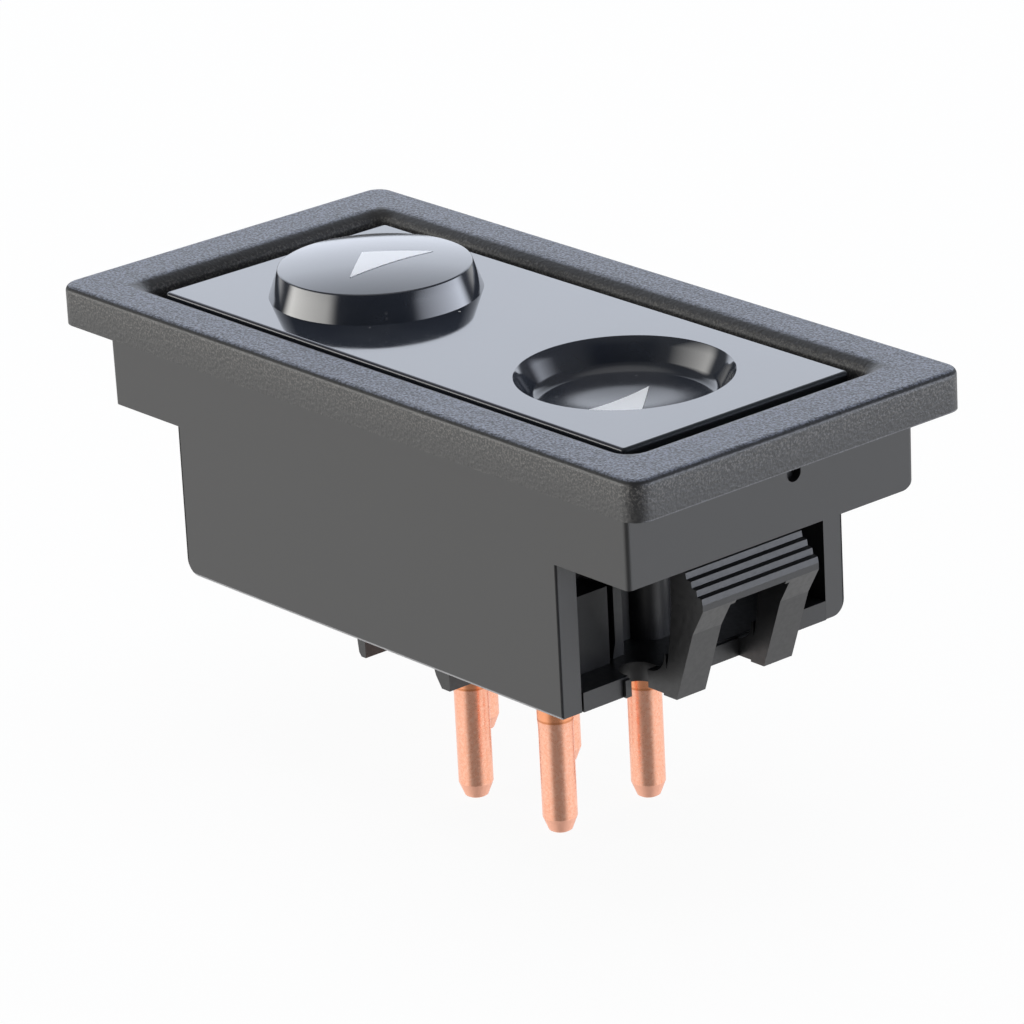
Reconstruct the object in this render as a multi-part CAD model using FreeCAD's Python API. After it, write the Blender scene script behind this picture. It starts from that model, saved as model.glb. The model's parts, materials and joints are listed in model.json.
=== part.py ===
"""Power window switch with a bezel flange, a domed and dished rocker and five copper pins.

Millimetres.  +X runs along the long side towards the dish, +Y across, +Z up.
The origin is the centre of the flange underside, the face that seats on the panel.
"""
import FreeCAD, Part
import math
import os

# Flange and its edges
flange_length = 66.0
flange_width = 32.2
flange_thick = 3.1
flange_corner = 1.6
flange_edge_round = 0.5

# Body under the flange
overhang_x = 3.45
overhang_y = 2.1
body_depth = 6.4
body_corner = 0.4
body_draft_deg = 0.4
body_floor_thick = 1.5
side_wall_thick = 1.9
lower_step = 7.85
lower_depth = 11.9
lower_corner = 1.2
far_edge_round = 1.15

# Well that the rocker sits in
well_wall_x = 1.95
well_wall_y = 2.35
well_corner = 0.9
well_edge_round = 1.5

# Vent notch in the end wall, under the flange
notch_width = 1.35
notch_depth = 0.7
notch_drop = 2.65
notch_off_centre = 2.1

# Rocker
rocker_gap_x = 1.35
rocker_gap_y = 0.65
rocker_below_rim = 0.5
rocker_plate_thick = 1.8
rocker_skirt_depth = 3.0
rocker_skirt_thick = 1.5
rocker_edge_round = 0.3
rocker_tilt_deg = 5.0
pivot_below_plate = 5.0
trunnion_radius = 1.6
trunnion_length = 1.75
trunnion_fit = 0.05
button_offset = 14.1

# Dome
dome_foot_radius = 8.2
dome_rim_radius = 7.45
dome_height = 2.2
dome_rise = 0.55
dome_wall = 1.5

# Finger dish
dish_rim_radius = 8.1
dish_floor_radius = 6.9
dish_depth = 2.2
dish_sag = 0.8
dish_wall = 1.4

# Arrows
arrow_length = 3.5
arrow_half_width = 4.1
arrow_depth = 0.35
arrow_fit = 0.02

# Plungers, their sleeves and springs
plunger_radius = 1.85
plunger_fit = 0.05
sleeve_wall = 0.9
sleeve_length = 6.6
plunger_body_length = 5.6
plunger_neck = 0.9
plunger_bore = 1.25
plunger_floor = 1.4
plunger_chamfer = 0.2
nose_radius = 1.0
nose_reach = 12.2
spring_wire = 0.36
spring_radius = 0.92
spring_turns = 6.0

# Terminal pins
pin_radius = 1.33
pin_collar_radius = 1.38
pin_pitch = 9.65
pin_row_gap = 8.9
pin_reach = 15.2
pin_collar_reach = 6.2
pin_collar_lead = 0.7
pin_taper_length = 1.2
pin_taper_ratio = 0.68
pin_head_radius = 2.15
pin_head_thick = 0.7
pin_hole_radius = 0.62
pin_hole_depth = 1.3
shank_fit = 0.03
shank_length = 1.0

# Contacts
arm_width = 3.6
arm_thick = 0.5
arm_vee_half = 2.6
arm_vee_deg = 12.0
arm_tail = 1.75
arm_end_rise = 0.35
arm_end_length = 0.5
arm_tab_radius = 0.7
arm_tab_fit = 0.05
arm_nose_gap = 0.1
arm_tilt_ratio = 1.1
rivet_radius = 1.4
rivet_head = 0.8
rivet_crown = 0.25
rivet_shank_radius = 0.6
rivet_closed_radius = 0.95
rivet_closed_height = 0.3
contact_gap = 1.0
fixed_contact_radius = 1.3
fixed_contact_height = 1.05
fixed_contact_crown = 0.15
link_width = 3.0
link_thick = 0.5
link_overrun = 1.6
link_corner = 1.2
cheek_thick = 0.5
cheek_gap = 0.15
cheek_half_length = 1.6
cheek_crest_half = 1.15
cheek_crest_rise = 0.75
bracket_half_length = 2.1

# Terminal base
base_fit = 0.1
base_floor_thick = 1.5
base_lip = 0.1
tongue_reach = 0.4
tongue_half_width = 8.2
relief_slot_radius = 1.35
relief_slot_length = 2.2
relief_slot_y = -6.3
end_pocket = 5.2
chamber_wall = 1.4
guide_length = 2.5
guide_width = 5.1
guide_drop = 4.4
slim_rib_length = 2.0
slim_rib_gap = 1.0
slim_rib_thick = 0.8
slim_rib_drop = 1.2
column_radius = 1.75
column_y = -0.9
boss_radius = 2.9
centre_rib_thick = 1.1
key_rib_drop = 2.6
key_rib_length = 3.4

# Latches on the ends of the base
latch_half_width = 5.7
latch_window_half = 2.9
gusset_radius = 1.7
latch_ridges = 6
latch_tread = 0.85

# Heights that follow from the sizes above
plate_top = flange_thick - rocker_below_rim
pivot_height = plate_top - pivot_below_plate
body_bottom = -body_depth
well_floor = body_bottom + body_floor_thick
housing_bottom = body_bottom - lower_depth
base_floor_top = housing_bottom + base_floor_thick
nose_tip = plate_top - nose_reach
arm_level = nose_tip - arm_nose_gap - arm_thick / 2
arm_flat_level = arm_level + arm_vee_half * math.tan(math.radians(arm_vee_deg))
moving_contact_bottom = arm_flat_level - arm_thick / 2 - rivet_head
fixed_contact_top = moving_contact_bottom - contact_gap
pin_head_top = fixed_contact_top - fixed_contact_height
boss_top = pin_head_top - pin_head_thick

# Half sizes that follow from the sizes above
body_half_x = flange_length / 2 - overhang_x
body_half_y = flange_width / 2 - overhang_y
well_half_x = body_half_x - well_wall_x
well_half_y = body_half_y - well_wall_y
lower_half_x = body_half_x - lower_step
chamber_half_length = lower_half_x - end_pocket
slot_half_y = body_half_y - side_wall_thick
rocker_half_x = well_half_x - rocker_gap_x
rocker_half_y = well_half_y - rocker_gap_y
row_y = pin_row_gap / 2
sleeve_radius = plunger_radius + plunger_fit + sleeve_wall
base_half_y = slot_half_y - base_fit


def vec(x, y, z):
    return FreeCAD.Vector(x, y, z)


def box(x0, x1, y0, y1, z0, z1):
    return Part.makeBox(x1 - x0, y1 - y0, z1 - z0, vec(x0, y0, z0))


def post(radius, x, y, z0, z1):
    return Part.makeCylinder(radius, z1 - z0, vec(x, y, z0))


def bar_across(radius, x, z, y0, y1):
    return Part.makeCylinder(radius, y1 - y0, vec(x, y0, z), vec(0, 1, 0))


def outline(half_x, half_y, radius, z):
    """Rectangle with rounded corners at one height, as a closed wire."""
    edges = []
    corners = (
        (half_x - radius, half_y - radius, 0),
        (radius - half_x, half_y - radius, 90),
        (radius - half_x, radius - half_y, 180),
        (half_x - radius, radius - half_y, 270),
    )
    ends = []
    for cx, cy, start in corners:
        a0 = math.radians(start)
        a1 = math.radians(start + 45)
        a2 = math.radians(start + 90)
        p = [vec(cx + radius * math.cos(a), cy + radius * math.sin(a), z) for a in (a0, a1, a2)]
        ends.append((p[0], p[2]))
        edges.append(Part.Arc(p[0], p[1], p[2]).toShape())
    sides = []
    for i in range(4):
        sides.append(Part.makeLine(ends[i][1], ends[(i + 1) % 4][0]))
    loop = []
    for arc, side in zip(edges, sides):
        loop.append(arc)
        loop.append(side)
    return Part.Wire(loop)


def block(half_x, half_y, radius, z0, z1, draft_deg=0.0):
    """Upright block with rounded corners that narrows downwards by the draft."""
    shrink = (z1 - z0) * math.tan(math.radians(draft_deg))
    top = outline(half_x, half_y, radius, z1)
    if shrink == 0:
        return Part.Face(top).extrude(vec(0, 0, z0 - z1))
    low = outline(half_x - shrink, half_y - shrink, radius, z0)
    return Part.makeLoft([low, top], True, True)


def plate_xz(points, y0, y1):
    """Flat profile in X and Z, extruded across from y0 to y1."""
    wire = Part.makePolygon([vec(x, y0, z) for x, z in points + points[:1]])
    return Part.Face(wire).extrude(vec(0, y1 - y0, 0))


def turned(points, x, y):
    """Profile of radius and height turned about the upright line at x, y."""
    wire = Part.makePolygon([vec(x + r, y, z) for r, z in points + points[:1]])
    return Part.Face(wire).revolve(vec(x, y, 0), vec(0, 0, 1), 360)


def cap(radius, rise, x, y, z):
    """Shallow crown that stands on a circle at height z; a negative rise hangs down."""
    side = 1 if rise > 0 else -1
    depth = abs(rise)
    ball = (radius * radius + depth * depth) / (2 * depth)
    top = vec(x, y, z + rise)
    half = math.asin(radius / ball) / 2
    mid = vec(x + ball * math.sin(half), y, z + rise - side * ball * (1 - math.cos(half)))
    rim = vec(x + radius, y, z)
    foot = vec(x, y, z)
    curve = Part.Arc(top, mid, rim).toShape()
    wire = Part.Wire([curve, Part.makeLine(rim, foot), Part.makeLine(foot, top)])
    return Part.Face(wire).revolve(foot, vec(0, 0, 1), 360)


def half_turn(shape):
    """Copy of a shape turned half a turn about the upright centre line."""
    copy = shape.copy()
    copy.rotate(vec(0, 0, 0), vec(0, 0, 1), 180)
    return copy


def edges_where(shape, test):
    return [e for e in shape.Edges if test(e)]


def joined(shapes):
    first = shapes[0]
    return first.fuse(shapes[1:]).removeSplitter()


def export(shape, name):
    if not shape.isValid():
        raise ValueError(name + " is not valid")
    shape.exportStep("parts/" + name + ".step")
    print(name, "solids", len(shape.Solids), "volume", round(shape.Volume, 2))


def housing():
    flange = block(flange_length / 2, flange_width / 2, flange_corner, 0, flange_thick)
    rim = edges_where(flange, lambda e: abs(e.BoundBox.ZMin - flange_thick) < 1e-6)
    flange = flange.makeFillet(flange_edge_round, rim)
    body = block(body_half_x, body_half_y, body_corner, body_bottom, 0, body_draft_deg)
    low_y = body_half_y - body_depth * math.tan(math.radians(body_draft_deg))
    body = body.cut(long_edge_cut(low_y, body_bottom, lower_half_x, body_half_x + 1))
    shell = joined([flange, body] + side_walls())
    well = block(well_half_x, well_half_y, well_corner, well_floor, flange_thick + 1)
    shell = shell.cut(well)
    shell = round_well_edge(shell)
    shell = shell.cut(housing_cuts())
    return joined([shell] + stop_ribs() + snap_beads())


def long_edge_cut(y, z, x0, x1):
    """What is taken off to round a far lower edge that runs along the body at y and z."""
    r = far_edge_round
    corner = box(x0, x1, y - r, y + 1, z - 1, z + r)
    roll = Part.makeCylinder(r, x1 - x0 + 2, vec(x0 - 1, y - r, z + r), vec(1, 0, 0))
    return corner.cut(roll)


def round_well_edge(shell):
    """Softly rounded lead into the well, all round its top edge."""
    def on_mouth(e):
        b = e.BoundBox
        flat = abs(b.ZMin - flange_thick) < 1e-6 and abs(b.ZMax - flange_thick) < 1e-6
        inside = max(abs(b.XMin), abs(b.XMax)) < well_half_x + 0.01
        return flat and inside and max(abs(b.YMin), abs(b.YMax)) < well_half_y + 0.01
    return shell.makeFillet(well_edge_round, edges_where(shell, on_mouth))


def side_walls():
    """The two long walls that carry the base; the far one has a rounded lower edge."""
    walls = []
    top = body_bottom + 0.5
    for side in (-1, 1):
        outer = side * (body_half_y - body_depth * math.tan(math.radians(body_draft_deg)))
        inner = side * slot_half_y
        wall = box(-lower_half_x, lower_half_x, min(outer, inner), max(outer, inner), housing_bottom, top)
        low = edges_where(wall, lambda e: abs(e.BoundBox.ZMax - housing_bottom) < 1e-6
                          and e.BoundBox.XMax < -lower_half_x + 1e-6)
        wall = wall.makeFillet(lower_corner, low)
        if side > 0:
            wall = wall.cut(long_edge_cut(abs(outer), housing_bottom, -lower_half_x - 1, lower_half_x + 1))
        walls.append(wall)
    return walls


def housing_cuts():
    """Chamber opening in the floor of the well, pivot sockets and the vent notch."""
    opening = block(chamber_half_length - chamber_wall, slot_half_y - 1.6, 1.0, body_bottom - 1, well_floor + 1)
    reach = trunnion_reach() + 0.15
    sockets = bar_across(trunnion_radius + trunnion_fit, 0, pivot_height, -reach, reach)
    x1 = body_half_x + 0.5
    x0 = body_half_x - notch_depth
    half = notch_width / 2
    low = notch_drop - half
    notch = box(x0, x1, notch_off_centre - half, notch_off_centre + half, -low, 0)
    foot = Part.makeCylinder(half, x1 - x0, vec(x0, notch_off_centre, -low), vec(1, 0, 0))
    return [opening, sockets, notch.fuse(foot)]


def stop_ribs():
    """Ribs on the well floor that the end of the pressed rocker comes down on."""
    level = rocker_end_level() - 0.06
    ribs = []
    for side in (-1, 1):
        for y in (-6.0, 0.0, 6.0):
            x = sorted((side * (well_half_x - 2.6), side * (well_half_x + 0.3)))
            ribs.append(box(x[0], x[1], y - 0.6, y + 0.6, well_floor - 0.3, level))
    return ribs


def rocker_end_level():
    """Height of the lower end corner of the rocker skirt when that end is pressed."""
    tilt = math.radians(rocker_tilt_deg)
    up = plate_top - rocker_skirt_depth - pivot_height
    return pivot_height + up * math.cos(tilt) - rocker_half_x * math.sin(tilt)


def snap_beads():
    """Small beads inside the long walls that hold the terminal base."""
    beads = []
    for side in (-1, 1):
        z = base_floor_top - 0.5
        y = side * slot_half_y
        tip = y - side * 0.35
        points = [vec(-12, y, z - 0.45), vec(-12, tip, z), vec(-12, y, z + 0.45)]
        back = [vec(-12, y + side * 0.3, z + 0.45), vec(-12, y + side * 0.3, z - 0.45)]
        wire = Part.makePolygon(points + back + points[:1])
        beads.append(Part.Face(wire).extrude(vec(24, 0, 0)))
    return beads


def trunnion_reach():
    return rocker_half_y + trunnion_length


def rocker():
    plate = rocker_plate()
    dome = dome_shell()
    bowl = dish_bowl()
    body = joined([plate, dome, bowl] + rocker_lugs() + rocker_sleeves() + rocker_ribs())
    bores = []
    for side in (-1, 1):
        bores.append(post(plunger_radius + plunger_fit, 0, side * row_y,
                          plate_top - rocker_plate_thick - sleeve_length - 1, plate_top - rocker_plate_thick))
    body = body.cut([dome_hollow(), dish_hollow()] + bores)
    for side in (-1, 1):
        body = body.cut(arrow(side, arrow_fit))
    return body


def rocker_plate():
    """Plate with a bevelled top edge and a skirt round its underside."""
    low = plate_top - rocker_skirt_depth
    outer = block(rocker_half_x, rocker_half_y, 0.4, low, plate_top)
    rim = edges_where(outer, lambda e: abs(e.BoundBox.ZMin - plate_top) < 1e-6)
    outer = outer.makeFillet(rocker_edge_round, rim)
    inner = block(rocker_half_x - rocker_skirt_thick, rocker_half_y - rocker_skirt_thick, 0.4,
                  low - 1, plate_top - rocker_plate_thick)
    return outer.cut(inner)


def dome_shell():
    """Raised button: flared skirt, small rounded rim and a shallow crown."""
    x = -button_offset
    top = plate_top + dome_height
    profile = [
        (0, plate_top - 0.5),
        (dome_foot_radius, plate_top - 0.5),
        (dome_foot_radius, plate_top),
        (dome_rim_radius, top - 0.1),
        (dome_rim_radius - 0.12, top),
        (0, top),
    ]
    skirt = turned(profile, x, 0)
    return skirt.fuse(cap(dome_rim_radius - 0.12, dome_rise, x, 0, top))


def dome_hollow():
    """Core under the dome that keeps its wall even."""
    x = -button_offset
    low = plate_top - rocker_plate_thick - 1
    top = plate_top + dome_height - dome_wall
    core = post(dome_rim_radius - dome_wall, x, 0, low, top)
    return core.fuse(cap(dome_rim_radius - dome_wall, dome_rise * 0.7, x, 0, top))


def dish_bowl():
    """Thickened bowl under the plate that carries the dish."""
    low = plate_top - dish_depth - dish_sag - dish_wall
    high = plate_top - rocker_plate_thick + 0.3
    profile = [
        (0, low),
        (dish_floor_radius + 0.4, low),
        (dish_rim_radius + 0.9, high),
        (0, high),
    ]
    return turned(profile, button_offset, 0)


def dish_hollow():
    """Conical wall with an eased rim and a slightly dished floor."""
    floor = plate_top - dish_depth
    profile = [
        (0, floor),
        (dish_floor_radius, floor),
        (dish_rim_radius, plate_top - 0.06),
        (dish_rim_radius + 0.05, plate_top),
        (dish_rim_radius + 0.05, plate_top + 1),
        (0, plate_top + 1),
    ]
    hollow = turned(profile, button_offset, 0)
    return hollow.fuse(cap(dish_floor_radius, -dish_sag, button_offset, 0, floor))


def arrow(side, grow):
    """White triangle that points outwards; side -1 is on the dome, side 1 is in the dish."""
    centre = side * button_offset
    tip = centre + side * (arrow_length * 0.42 + 1.6 * grow)
    back = centre - side * (arrow_length * 0.58 + grow)
    half = arrow_half_width + 1.6 * grow
    z0 = plate_top - 8
    points = [vec(tip, 0, z0), vec(back, half, z0), vec(back, -half, z0), vec(tip, 0, z0)]
    prism = Part.Face(Part.makePolygon(points)).extrude(vec(0, 0, 20))
    if side < 0:
        top = plate_top + dome_height
        radius = dome_rim_radius - 0.12
        layer = post(radius, centre, 0, top - 1, top).fuse(cap(radius, dome_rise, centre, 0, top))
        under = layer.copy()
        under.translate(vec(0, 0, -arrow_depth - grow))
    else:
        floor = plate_top - dish_depth
        under = post(dish_floor_radius + 2, centre, 0, floor - 5, floor)
        under = under.cut(cap(dish_floor_radius, -dish_sag, centre, 0, floor))
        layer = under.copy()
        under.translate(vec(0, 0, -arrow_depth - grow))
    return prism.common(layer.cut(under))


def rocker_lugs():
    """Lugs at mid length with the two trunnions, chamfered to snap into their sockets."""
    shapes = []
    high = plate_top - rocker_plate_thick + 0.2
    low = pivot_height - trunnion_radius
    for side in (-1, 1):
        y_out = side * rocker_half_y
        y_in = side * (rocker_half_y - rocker_skirt_thick)
        y = sorted((y_out, y_in))
        lug = plate_xz([(-3.2, high), (-1.9, pivot_height), (-1.2, low), (1.2, low), (1.9, pivot_height),
                        (3.2, high)], y[0], y[1])
        shapes.append(lug)
        y = sorted((y_in, side * trunnion_reach()))
        pin = bar_across(trunnion_radius, 0, pivot_height, y[0], y[1])
        end = edges_where(pin, lambda e: abs(abs(e.BoundBox.YMin) - trunnion_reach()) < 1e-6
                          and e.BoundBox.YLength < 1e-6)
        shapes.append(pin.makeChamfer(0.35, end))
    return shapes


def rocker_sleeves():
    low = plate_top - rocker_plate_thick - sleeve_length
    high = plate_top - rocker_plate_thick + 0.2
    return [post(sleeve_radius, 0, side * row_y, low, high) for side in (-1, 1)]


def rocker_ribs():
    """Stiffening ribs from the skirt to the sleeves and along the plate."""
    high = plate_top - rocker_plate_thick + 0.2
    low = plate_top - rocker_skirt_depth - 0.6
    inner = rocker_half_y - rocker_skirt_thick + 0.3
    ribs = [box(-0.6, 0.6, -inner, -row_y - sleeve_radius + 0.4, low - 1.5, high)]
    ribs.append(box(-0.6, 0.6, row_y + sleeve_radius - 0.4, inner, low - 1.5, high))
    ribs.append(box(-0.6, 0.6, -row_y + sleeve_radius - 0.4, row_y - sleeve_radius + 0.4, low - 1.5, high))
    return ribs


def plunger(side):
    y = side * row_y
    seat = nose_tip + nose_radius + plunger_neck
    top = seat + plunger_body_length
    body = post(plunger_radius, 0, y, seat, top)
    body = body.cut(post(plunger_bore, 0, y, seat + plunger_floor - plunger_neck, top + 1))
    neck = Part.makeCone(nose_radius, plunger_radius, plunger_neck, vec(0, y, nose_tip + nose_radius))
    nose = Part.makeSphere(nose_radius, vec(0, y, nose_tip + nose_radius))
    rim = edges_where(body, lambda e: abs(e.BoundBox.ZMin - top) < 1e-6
                      and e.BoundBox.XLength > plunger_bore + plunger_radius)
    body = body.makeChamfer(plunger_chamfer, rim)
    return joined([body, neck, nose])


def plunger_spring(side):
    """Compression spring from the blind end of the sleeve down into the plunger."""
    y = side * row_y
    seat = nose_tip + nose_radius + plunger_floor
    low = seat + spring_wire / 2 + 0.02
    high = plate_top - rocker_plate_thick - spring_wire / 2 - 0.02
    helix = Part.makeHelix((high - low) / spring_turns, high - low, spring_radius)
    helix.translate(vec(0, y, low))
    ring = Part.makeCircle(spring_wire / 2, vec(spring_radius, y, low), vec(0, 1, 0))
    return Part.Wire(helix).makePipeShell([Part.Wire(ring)], True, True)


def terminal_pin(x, y):
    tip = housing_bottom - pin_reach
    collar = housing_bottom - pin_collar_reach
    nose = pin_radius * pin_taper_ratio
    profile = [
        (0, tip),
        (nose - 0.2, tip),
        (nose, tip + 0.12),
        (pin_radius, tip + pin_taper_length),
        (pin_radius, collar - pin_collar_lead),
        (pin_collar_radius, collar),
        (pin_collar_radius, boss_top),
        (pin_head_radius, boss_top),
        (pin_head_radius, pin_head_top - 0.12),
        (pin_head_radius - 0.12, pin_head_top),
        (pin_hole_radius, pin_head_top),
        (pin_hole_radius, pin_head_top - pin_hole_depth),
        (0, pin_head_top - pin_hole_depth),
    ]
    return turned(profile, x, y)


def pin_places():
    return [
        ("pin_middle_near", 0, -row_y),
        ("pin_dish_near", pin_pitch, -row_y),
        ("pin_dome_far", -pin_pitch, row_y),
        ("pin_middle_far", 0, row_y),
        ("pin_dish_far", pin_pitch, row_y),
    ]


def contact_button(x, y, seat):
    """Crowned contact with a short shank that fits the hole under it."""
    shoulder = fixed_contact_top - fixed_contact_crown
    head = post(fixed_contact_radius, x, y, seat, shoulder)
    head = head.fuse(cap(fixed_contact_radius, fixed_contact_crown, x, y, shoulder))
    shank = post(pin_hole_radius - shank_fit, x, y, seat - shank_length, seat)
    return head.fuse(shank).removeSplitter()


def pin_contacts():
    buttons = [contact_button(pin_pitch, side * row_y, pin_head_top) for side in (-1, 1)]
    return Part.makeCompound(buttons)


def link_contacts():
    seat = pin_head_top + link_thick
    return Part.makeCompound([contact_button(-pin_pitch, side * row_y, seat) for side in (-1, 1)])


def link_strip():
    """Flat strip across the chamber, from the far pin head to the empty place."""
    reach = row_y + link_overrun
    strip = box(-pin_pitch - link_width / 2, -pin_pitch + link_width / 2, -reach, reach,
                pin_head_top, pin_head_top + link_thick)
    ends = edges_where(strip, lambda e: e.BoundBox.ZLength > link_thick - 1e-6)
    strip = strip.makeFillet(link_corner, ends)
    holes = [post(pin_hole_radius, -pin_pitch, side * row_y, pin_head_top - 1, pin_head_top + 1)
             for side in (-1, 1)]
    return strip.cut(holes)


def fulcrum_bracket(side):
    """Folded bracket: base on the pin head, two cheeks with notches for the arm tabs."""
    y = side * row_y
    base_top = pin_head_top + cheek_thick
    inner = arm_width / 2 + cheek_gap
    outer = inner + cheek_thick
    floor = box(-bracket_half_length, bracket_half_length, y - outer, y + outer, pin_head_top, base_top)
    pip = post(pin_hole_radius - shank_fit, 0, y, pin_head_top - shank_length, base_top)
    shapes = [floor, pip]
    crest = arm_level + cheek_crest_rise
    profile = [
        (-cheek_half_length, pin_head_top),
        (-cheek_half_length, arm_level),
        (-cheek_crest_half, crest),
        (cheek_crest_half, crest),
        (cheek_half_length, arm_level),
        (cheek_half_length, pin_head_top),
    ]
    for way in (-1, 1):
        span = sorted((y + way * inner, y + way * outer))
        shapes.append(plate_xz(profile, span[0], span[1]))
    bracket = joined(shapes)
    half = arm_tab_radius + arm_tab_fit
    notch = bar_across(half, 0, arm_level, y - outer - 1, y + outer + 1)
    mouth = box(-half, half, y - outer - 1, y + outer + 1, arm_level, crest + 1)
    return bracket.cut([notch, mouth])


def contact_arm(side):
    """Rocking arm: shallow vee under the plunger, side tabs to rock on, turned-up ends."""
    y = side * row_y
    half = arm_thick / 2
    vee = arm_vee_half * math.tan(math.radians(arm_vee_deg))
    end = pin_pitch + arm_tail
    flat = arm_level + vee + half
    top = [(-end, flat + arm_end_rise), (-end + arm_end_length, flat), (-arm_vee_half, flat),
           (0, arm_level + half),
           (arm_vee_half, flat), (end - arm_end_length, flat), (end, flat + arm_end_rise)]
    low = [(x, z - arm_thick) for x, z in reversed(top)]
    strip = plate_xz(top + low, y - arm_width / 2, y + arm_width / 2)
    reach = arm_width / 2 + cheek_gap + cheek_thick
    tabs = bar_across(arm_tab_radius, 0, arm_level, y - reach, y + reach)
    keep_low = plate_xz([(-half * 2, arm_level + half * 0.6), (half * 2, arm_level + half * 0.6),
                         (half * 2, arm_level - 2), (-half * 2, arm_level - 2)],
                        y - arm_width / 2, y + arm_width / 2)
    middle = bar_across(arm_tab_radius, 0, arm_level, y - arm_width / 2, y + arm_width / 2).cut(keep_low)
    tabs = tabs.cut(middle)
    arm = strip.fuse(tabs).removeSplitter()
    holes = [post(rivet_shank_radius + 0.02, way * pin_pitch, y, arm_level - 3, arm_level + 3)
             for way in (-1, 1)]
    return arm.cut(holes)


def arm_rivets(side):
    """Pair of moving contacts: crowned head under the arm, shank and closed head above."""
    y = side * row_y
    under = arm_flat_level - arm_thick / 2
    over = arm_flat_level + arm_thick / 2
    rivets = []
    for way in (-1, 1):
        x = way * pin_pitch
        head = post(rivet_radius, x, y, moving_contact_bottom + rivet_crown, under)
        crown = cap(rivet_radius, -rivet_crown, x, y, moving_contact_bottom + rivet_crown)
        shank = post(rivet_shank_radius, x, y, under - 0.2, over + 0.2)
        closed = Part.makeCone(rivet_closed_radius, rivet_shank_radius, rivet_closed_height, vec(x, y, over))
        rivets.append(joined([head, crown, shank, closed]))
    return Part.makeCompound(rivets)


def terminal_base():
    shapes = [base_floor()]
    shapes += chamber_walls()
    shapes += pin_bosses()
    shapes += end_blocks()
    shapes += [latch(), half_turn(latch())]
    shapes += key_ribs()
    base = joined(shapes)
    holes = []
    for name, x, y in pin_places():
        holes.append(post(pin_collar_radius + 0.02, x, y, housing_bottom - 1, boss_top + 1))
    return base.cut(holes + snap_grooves())


def base_floor():
    """Floor plate with a tongue at each end that the latches grow from, and a relief slot beside each."""
    floor = box(-lower_half_x - base_lip, lower_half_x + base_lip, -base_half_y, base_half_y,
                housing_bottom, base_floor_top)
    reach = lower_half_x + tongue_reach
    tongue = box(-reach, reach, -tongue_half_width, tongue_half_width, housing_bottom, base_floor_top - 0.15)
    inner = reach - relief_slot_length + relief_slot_radius
    slot = post(relief_slot_radius, inner, relief_slot_y, housing_bottom - 1, base_floor_top + 1)
    mouth = box(inner, reach + 1, relief_slot_y - relief_slot_radius, relief_slot_y + relief_slot_radius,
                housing_bottom - 1, base_floor_top + 1)
    slot = slot.fuse(mouth)
    return floor.fuse(tongue).cut([slot, half_turn(slot)])


def chamber_walls():
    top = body_bottom - base_fit
    outer = box(-chamber_half_length, chamber_half_length, -base_half_y, base_half_y, base_floor_top - 0.2, top)
    inner_x = chamber_half_length - chamber_wall
    inner_y = base_half_y - chamber_wall
    inner = box(-inner_x, inner_x, -inner_y, inner_y, base_floor_top - 1, top + 1)
    ring = outer.cut(inner)
    half = centre_rib_thick / 2
    rib = box(-pin_pitch + link_width / 2 + 0.6, inner_x + 0.2, -half, half, base_floor_top - 0.2,
              fixed_contact_top + 2.4)
    return [ring, rib]


def pin_bosses():
    """Boss for each pin, and a stub with a small spigot under the free end of the link strip."""
    bosses = [post(boss_radius, x, y, base_floor_top - 0.2, boss_top) for name, x, y in pin_places()]
    stub = post(boss_radius, -pin_pitch, -row_y, base_floor_top - 0.2, pin_head_top)
    stub = stub.cut(post(pin_hole_radius, -pin_pitch, -row_y, pin_head_top - 1.3, pin_head_top + 1))
    bosses.append(stub)
    return bosses


def end_blocks():
    """Guide block, slim rib and half-round column in the end pockets, one set at each end."""
    z0 = base_floor_top - 0.2
    x0 = chamber_half_length - 0.2
    near = -base_half_y
    guide = box(x0, chamber_half_length + guide_length, near, near + guide_width, z0, body_bottom - guide_drop)
    top = body_bottom - slim_rib_drop
    y = near + guide_width + slim_rib_gap
    back = y + slim_rib_thick
    corners = [(back, z0), (back, top), (y + 0.3, top), (y, top - 1.2), (y, z0 + 1.4), (y - 0.35, z0)]
    side = Part.makePolygon([vec(x0, a, b) for a, b in corners + corners[:1]])
    slim = Part.Face(side).extrude(vec(slim_rib_length + 0.2, 0, 0))
    column = post(column_radius, chamber_half_length, column_y, z0, body_bottom - base_fit)
    column = column.common(box(x0, x0 + column_radius + 1, column_y - 5, column_y + 5, z0, body_bottom))
    trio = [guide, slim, column]
    return trio + [half_turn(s) for s in trio]


def latch_outline():
    """Side profile of the latch, from its foot up the inner face and over the ridged ramp."""
    foot_in = lower_half_x + 1.65
    foot_out = lower_half_x + 3.05
    low = housing_bottom - 0.15
    ramp_top = (lower_half_x + 3.0, body_bottom - 0.7)
    ramp_low = (lower_half_x + 6.25, body_bottom - 3.9)
    inner = [(foot_in, low), (foot_in + 0.05, low + 0.9), (foot_in + 0.6, low + 2.8),
             (foot_in + 0.95, low + 4.9), (foot_in + 1.25, low + 7.3), (foot_in + 1.15, body_bottom - 0.7)]
    outer = [ramp_low, (ramp_low[0], ramp_low[1] - 0.5), (ramp_low[0] - 1.2, ramp_low[1] - 2.55),
             (foot_out, low)]
    return inner, ramp_top, ramp_low, outer


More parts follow.
